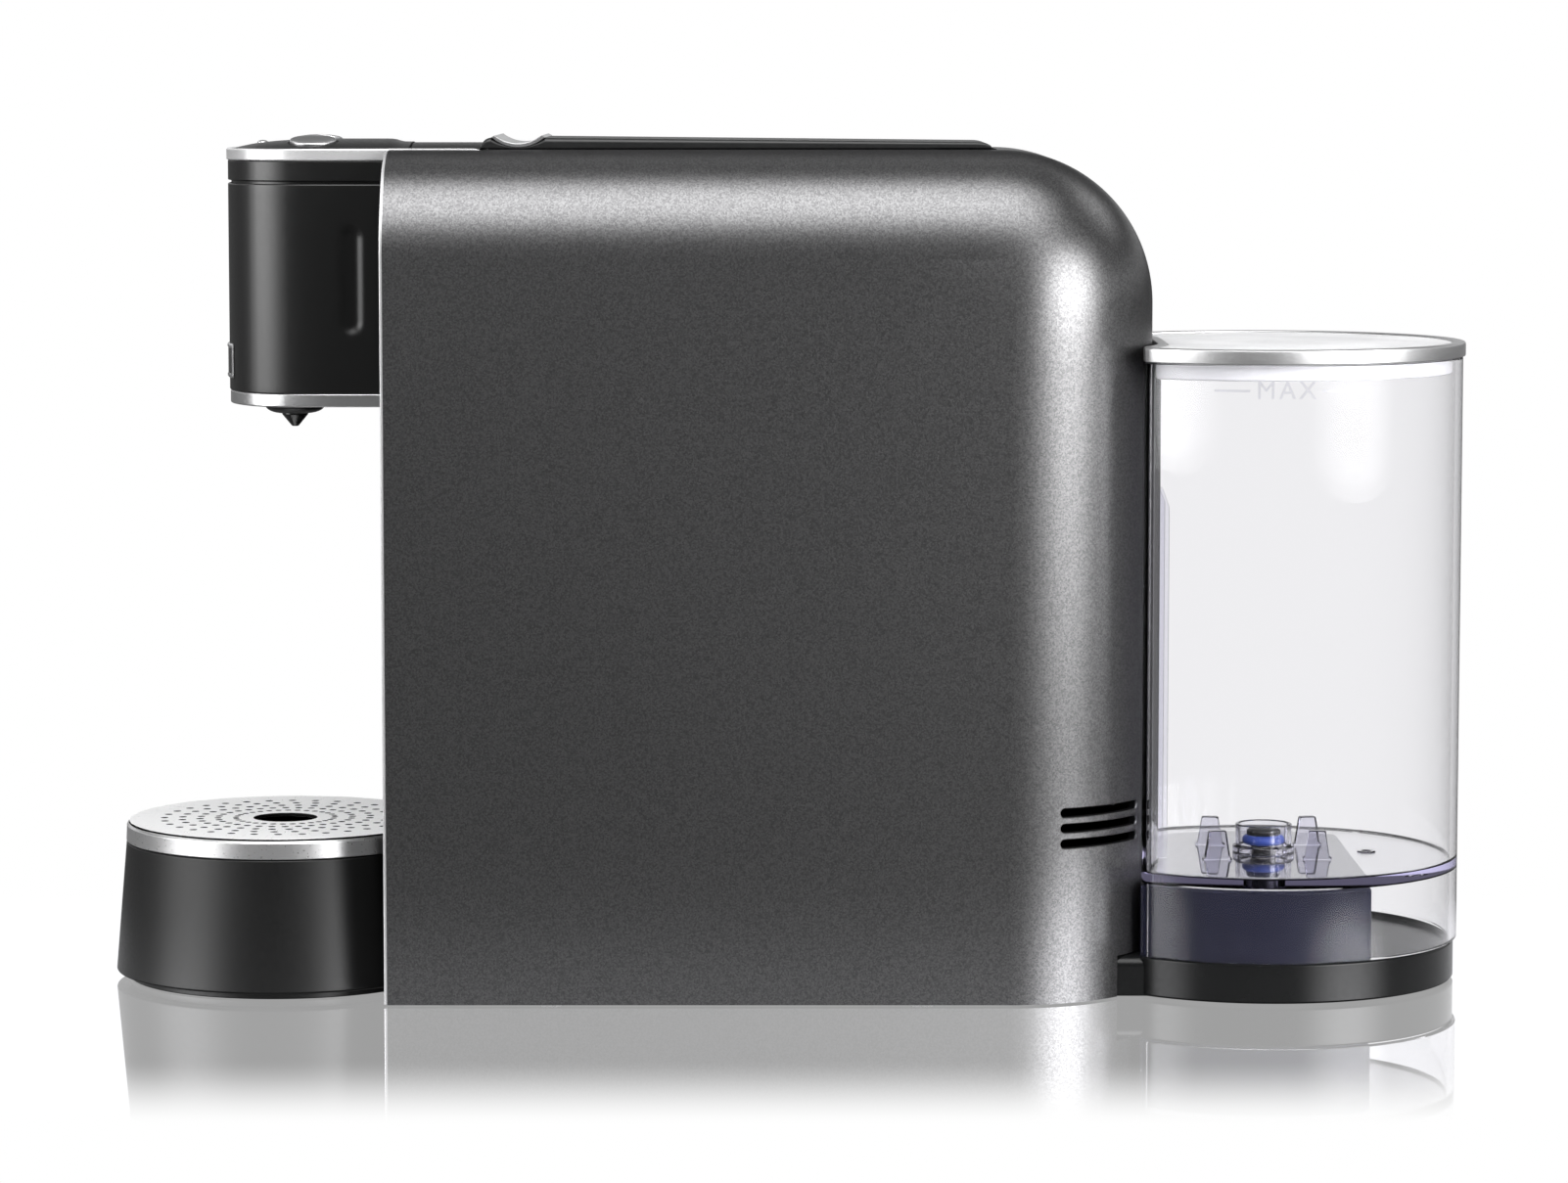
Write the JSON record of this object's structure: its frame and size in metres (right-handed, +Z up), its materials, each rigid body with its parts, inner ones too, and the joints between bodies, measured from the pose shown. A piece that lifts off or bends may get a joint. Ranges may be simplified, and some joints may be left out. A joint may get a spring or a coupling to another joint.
{
  "type": "pod coffee machine",
  "caption": "Slim pod coffee machine with a forward head, pull-off spout housing, round drip tray, long top lever and clear lift-off water tank.",
  "frame": {"origin": "on the table, under the middle of the overall box", "axes": "+Z up; -Y is the front with the spout and drip tray; +Y is the water tank; +X is the side shown in the picture, the right-hand side when facing the front"},
  "size_m": [0.1202, 0.4086, 0.2552],
  "materials": {
    "shell_paint": "gunmetal metallic flake, semi-gloss",
    "silver_trim": "satin chrome",
    "button_silver": "satin plated",
    "brushed_plate": "fine brushed",
    "satin_black": "fine-grain satin",
    "gloss_black": "gloss",
    "dock_navy": "gloss, navy-black",
    "tank_clear": "clear, faint violet at the edges",
    "lid_translucent": "translucent, light",
    "foot_rubber": "matt",
    "seal_blue": "blue silicone",
    "seal_red": "red-brown silicone",
    "steel": "plain",
    "cast_alloy": "cast",
    "pump_steel": "dull",
    "inner_grey": "glass-filled moulding",
    "natural_plastic": "natural white",
    "circuit_board": "green board"
  },
  "bodies": {
    "machine": {"body_shell": "shell_paint", "front_trim": "silver_trim", "front_panel": "satin_black", "base_plate": "satin_black", "feet": "foot_rubber", "base_screws": "steel", "chassis": "inner_grey", "head_frame": "satin_black", "top_ring": "silver_trim", "control_panel": "gloss_black", "switch_board": "circuit_board", "lever_pin": "steel", "brew_frame": "inner_grey", "injector_plate": "steel", "outlet_tube": "inner_grey", "capsule_chute": "inner_grey", "thermoblock": "cast_alloy", "hot_water_tube": "steel", "pump": "pump_steel", "pump_mounts": "foot_rubber", "flow_meter": "natural_plastic", "inlet_tube": "natural_plastic", "pressure_tube": "natural_plastic", "control_board": "circuit_board", "cord_gland": "foot_rubber", "tank_base": "gloss_black", "dock_block": "dock_navy", "dock_seal": "foot_rubber", "button_spring_left": "steel", "button_spring_right": "steel"},
    "lever": {"lever": "satin_black", "lever_grip": "silver_trim", "link_pin": "steel"},
    "links": {"drag_links": "steel"},
    "carriage": {"carriage": "inner_grey", "piston": "steel", "piston_seal": "seal_red", "port_shutter": "satin_black"},
    "spout_housing": {"outlet_casing": "satin_black", "outlet_bottom_ring": "silver_trim", "outlet_floor": "satin_black", "spout_funnel": "satin_black", "spout_nozzle": "gloss_black", "badge_plate": "silver_trim"},
    "capsule_bin": {"capsule_bin": "satin_black"},
    "drip_tray": {"tray_cup": "satin_black"},
    "grille": {"drip_grille": "brushed_plate"},
    "brew_button_left": {"brew_button_left": "button_silver"},
    "brew_button_right": {"brew_button_right": "button_silver"},
    "power_button": {"power_button": "button_silver"},
    "water_tank": {"tank": "tank_clear", "valve_spring": "steel"},
    "tank_valve": {"valve_plunger": "gloss_black", "valve_seal": "seal_blue"},
    "tank_lid": {"tank_lid_ring": "silver_trim", "tank_lid_plate": "lid_translucent"}
  },
  "joints": [
    {"name": "lever_hinge", "type": "hinge", "parent": "machine", "child": "lever", "pos_m": [0, 0.045, 0.2455], "axis": [-1, 0, 0], "range_deg": [0, 70]},
    {"name": "carriage_slide", "type": "slide", "parent": "machine", "child": "carriage", "axis": [0, 1, 0], "range_m": [0, 0.0252]},
    {"name": "link_pivot", "type": "hinge", "parent": "lever", "child": "links", "pos_m": [0, 0.017, 0.2425], "axis": [-1, 0, 0], "range_deg": [-90, 0]},
    {"name": "spout_housing_pull", "type": "slide", "parent": "machine", "child": "spout_housing", "axis": [0, -1, 0], "range_m": [0, 0.06]},
    {"name": "capsule_bin_pull", "type": "slide", "parent": "machine", "child": "capsule_bin", "axis": [0, -1, 0], "range_m": [0, 0.075]},
    {"name": "drip_tray_pull", "type": "slide", "parent": "machine", "child": "drip_tray", "axis": [0, -1, 0], "range_m": [0, 0.07]},
    {"name": "grille_lift", "type": "slide", "parent": "drip_tray", "child": "grille", "axis": [0, 0, 1], "range_m": [0, 0.008]},
    {"name": "brew_button_left_press", "type": "slide", "parent": "machine", "child": "brew_button_left", "axis": [0.1736, 0, -0.9848], "range_m": [0, 0.0011], "stiffness_N_per_m": 500, "deforming": ["button_spring_left"]},
    {"name": "brew_button_right_press", "type": "slide", "parent": "machine", "child": "brew_button_right", "axis": [-0.1736, 0, -0.9848], "range_m": [0, 0.0011], "stiffness_N_per_m": 500, "deforming": ["button_spring_right"]},
    {"name": "power_button_press", "type": "slide", "parent": "machine", "child": "power_button", "axis": [0, 0, -1], "range_m": [0, 0.0008], "stiffness_N_per_m": 400},
    {"name": "tank_lift", "type": "slide", "parent": "machine", "child": "water_tank", "axis": [0, 0, 1], "range_m": [0, 0.25]},
    {"name": "tank_valve_close", "type": "slide", "parent": "water_tank", "child": "tank_valve", "axis": [0, 0, 1], "range_m": [-0.0023, 0], "deforming": ["valve_spring"]},
    {"name": "lid_lift", "type": "slide", "parent": "water_tank", "child": "tank_lid", "axis": [0, 0, 1], "range_m": [0, 0.05]}
  ],
  "couplings": [
    {"joint": "carriage_slide", "follows": "lever_hinge", "m_per_rad": 0.020397},
    {"joint": "link_pivot", "follows": "lever_hinge", "ratio": -1.2784},
    {"joint": "tank_valve_close", "follows": "tank_lift", "ratio": -0.0092}
  ]
}
